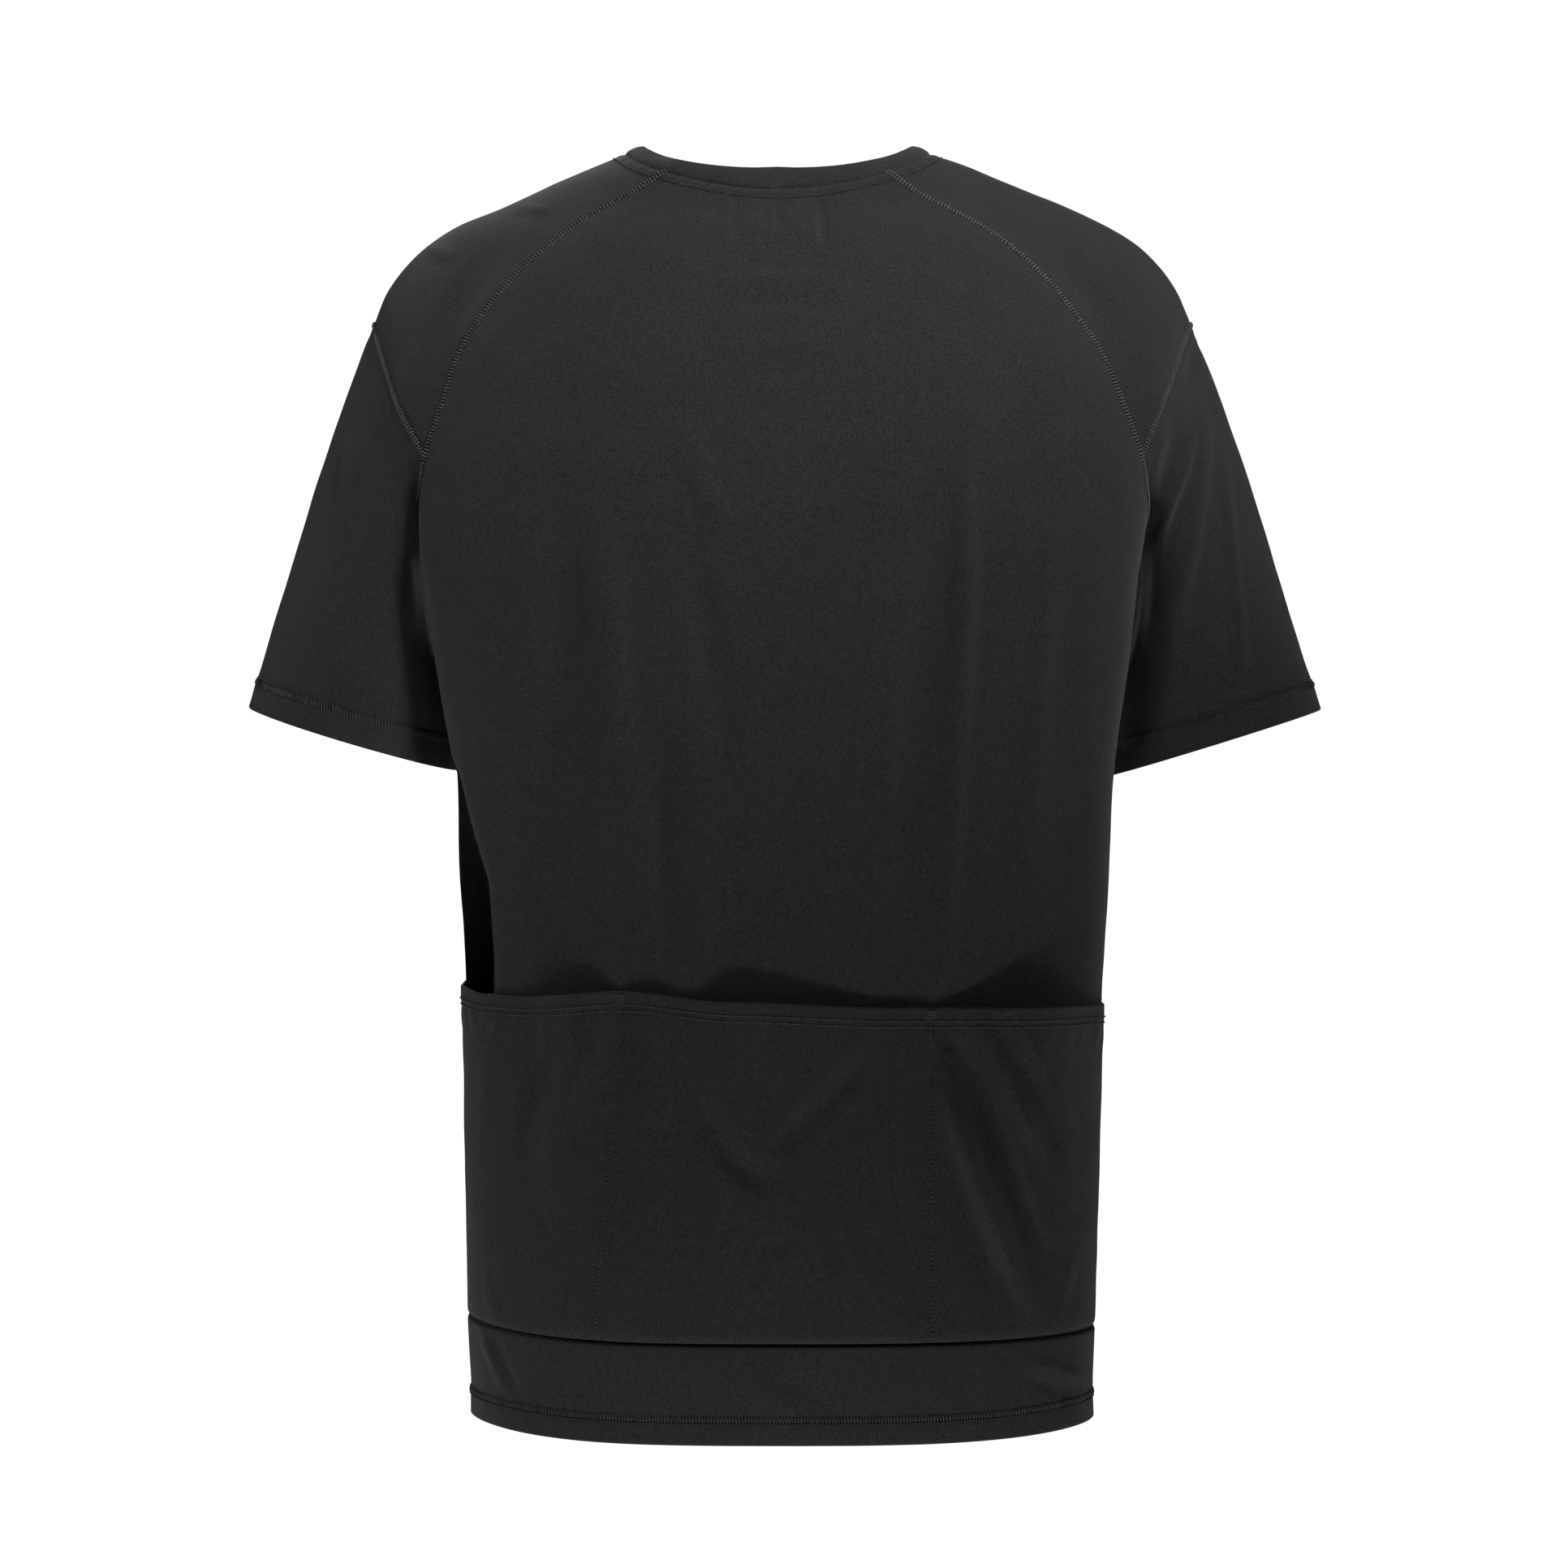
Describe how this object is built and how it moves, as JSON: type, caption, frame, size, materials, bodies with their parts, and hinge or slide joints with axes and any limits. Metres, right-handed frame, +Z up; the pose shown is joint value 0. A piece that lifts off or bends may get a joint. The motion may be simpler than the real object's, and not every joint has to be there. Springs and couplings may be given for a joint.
{
  "type": "cycling jersey",
  "caption": "Short-sleeved cycling jersey in dark knit, with a crew neckband, raglan shoulder yokes and open pockets across the lower back, filled out as worn.",
  "frame": {"origin": "midway between the two high shoulder points, where the neckband meets the shoulder yokes", "axes": "+Z up the body, +Y out of the wearer's back, +X towards the wearer's left arm"},
  "size_m": [0.612, 0.2548, 0.7242],
  "materials": {
    "knit": "fine charcoal polyester knit, matt with a faint sheen",
    "rib": "fine charcoal knit neckband, matt, folded double"
  },
  "bodies": {
    "root": {"back": "knit", "front": "knit", "hem_band": "knit", "pocket_panel": "knit", "yoke_left": "knit", "yoke_right": "knit", "sleeve_left": "knit", "sleeve_right": "knit", "neckband": "rib"}
  },
  "joints": []
}
